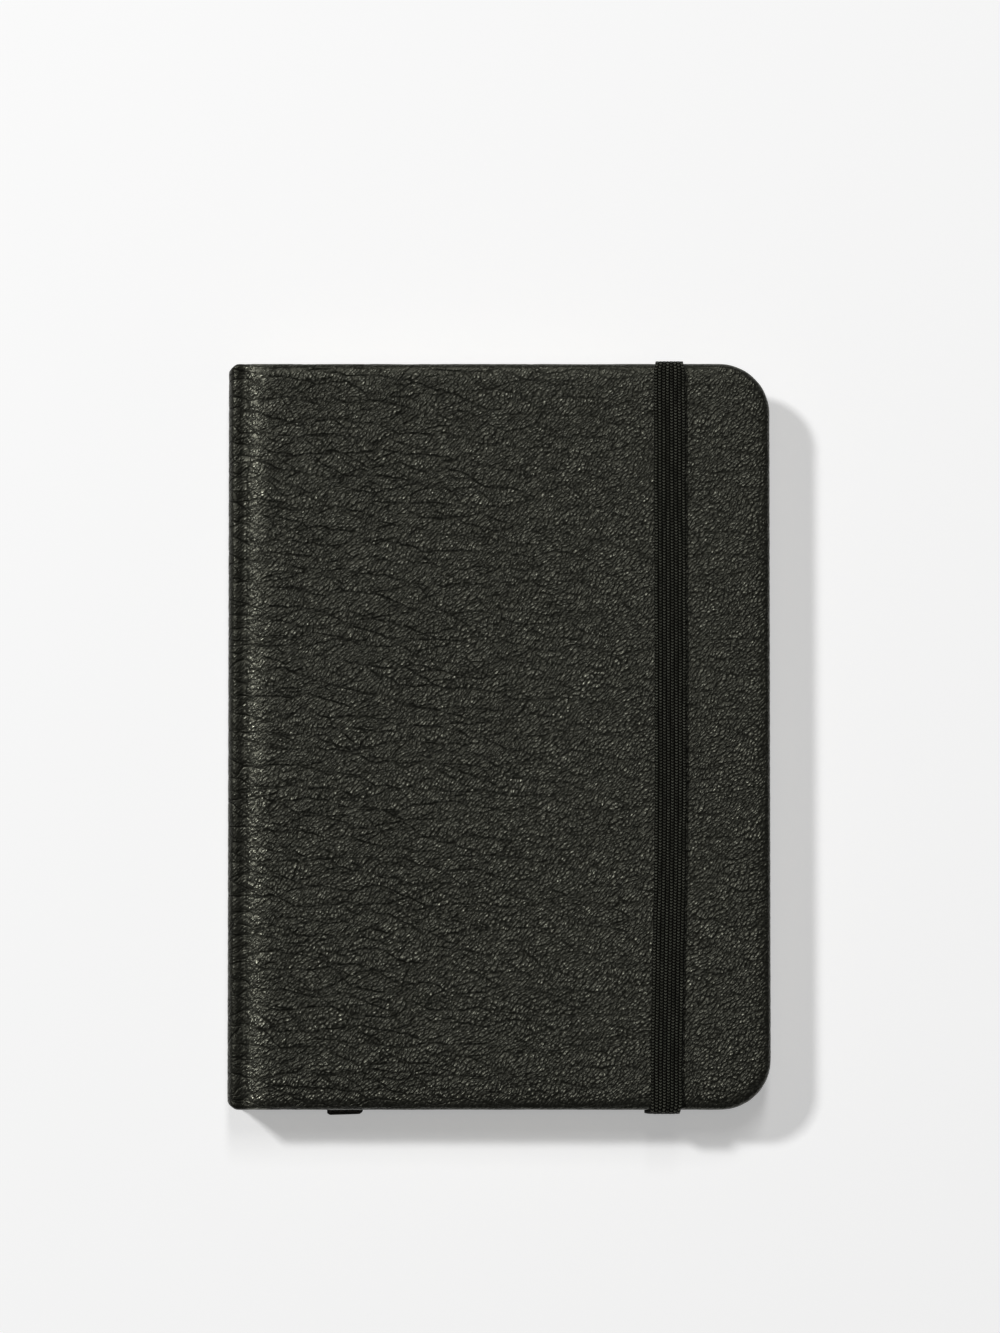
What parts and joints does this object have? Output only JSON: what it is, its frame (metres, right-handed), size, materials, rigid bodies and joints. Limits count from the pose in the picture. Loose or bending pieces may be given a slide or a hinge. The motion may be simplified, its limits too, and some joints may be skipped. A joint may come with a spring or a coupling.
{
  "type": "pocket notebook",
  "caption": "Hardcover pocket notebook in grained black leather that opens flat on a hinged spine, with sewn leaves, an elastic closure band and a ribbon marker.",
  "frame": {"origin": "centre of the back cover's outer face, where the notebook rests", "axes": "+X from the spine to the fore-edge, +Y from tail to head, +Z from the back cover to the front cover"},
  "size_m": [0.112, 0.1562, 0.0159],
  "materials": {
    "leather_black": "satin, pebbled grain with fine creases",
    "greyboard": "matte grey board",
    "endpaper": "matte heavy ivory paper",
    "page_paper": "matte ivory paper with faint ruling",
    "kraft_lining": "matte kraft paper",
    "mull_cloth": "open gauze",
    "thread": "waxed thread",
    "band_cloth": "woven end band",
    "elastic": "ribbed woven elastic",
    "ribbon": "woven ribbon"
  },
  "bodies": {
    "back_cover": {"back_leather": "leather_black", "back_board": "greyboard", "back_endpaper": "endpaper", "elastic_ends": "elastic", "rear_flyleaf": "endpaper", "section_07": "page_paper", "section_08": "page_paper", "section_09": "page_paper", "section_10": "page_paper", "section_11": "page_paper", "section_12": "page_paper"},
    "spine": {"spine_leather": "leather_black", "front_joint_leather": "leather_black", "rear_joint_leather": "leather_black", "spine_board": "greyboard", "spine_lining": "kraft_lining", "mull": "mull_cloth", "sewing_thread": "thread", "sewn_folds": "page_paper", "head_band": "band_cloth", "tail_band": "band_cloth"},
    "front_cover": {"front_leather": "leather_black", "front_board": "greyboard", "front_endpaper": "endpaper"},
    "front_flyleaf": {"front_flyleaf": "endpaper"},
    "leaves_outer": {"section_01": "page_paper", "section_02": "page_paper", "section_03": "page_paper"},
    "leaves_inner": {"section_04": "page_paper", "section_05": "page_paper", "section_06": "page_paper"},
    "elastic": {"elastic_band": "elastic"},
    "ribbon": {"ribbon_marker": "ribbon"}
  },
  "joints": [
    {"name": "spine_hinge", "type": "hinge", "parent": "back_cover", "child": "spine", "pos_m": [-0.0538, 0, 0.00275], "axis": [0, -1, 0], "range_deg": [0, 90], "deforming": ["rear_joint_leather"]},
    {"name": "front_cover_hinge", "type": "hinge", "parent": "spine", "child": "front_cover", "pos_m": [-0.0538, 0, 0.01225], "axis": [0, -1, 0], "range_deg": [0, 90], "deforming": ["front_joint_leather"]},
    {"name": "flyleaf_turn", "type": "hinge", "parent": "spine", "child": "front_flyleaf", "pos_m": [-0.0538, 0, 0.01225], "axis": [0, -1, 0], "range_deg": [0, 89.6]},
    {"name": "outer_leaves_turn", "type": "hinge", "parent": "spine", "child": "leaves_outer", "pos_m": [-0.0538, 0, 0.01225], "axis": [0, -1, 0], "range_deg": [0, 89.2]},
    {"name": "inner_leaves_turn", "type": "hinge", "parent": "spine", "child": "leaves_inner", "pos_m": [-0.0538, 0, 0.01225], "axis": [0, -1, 0], "range_deg": [0, 88.4]},
    {"name": "elastic_swing", "type": "hinge", "parent": "back_cover", "child": "elastic", "pos_m": [0.035, 0, 0.0004], "axis": [0, 1, 0], "range_deg": [0, 180], "deforming": ["elastic_band"]},
    {"name": "ribbon_swing", "type": "hinge", "parent": "back_cover", "child": "ribbon", "pos_m": [-0.047, 0.0725, 0.0075], "axis": [0, 0, 1], "range_deg": [-2, 4]}
  ],
  "couplings": [
    {"joint": "front_cover_hinge", "follows": "spine_hinge", "ratio": 1},
    {"joint": "flyleaf_turn", "follows": "spine_hinge", "ratio": 0.995},
    {"joint": "outer_leaves_turn", "follows": "spine_hinge", "ratio": 0.99},
    {"joint": "inner_leaves_turn", "follows": "spine_hinge", "ratio": 0.98},
    {"joint": "elastic_swing", "follows": "spine_hinge", "ratio": 2}
  ]
}
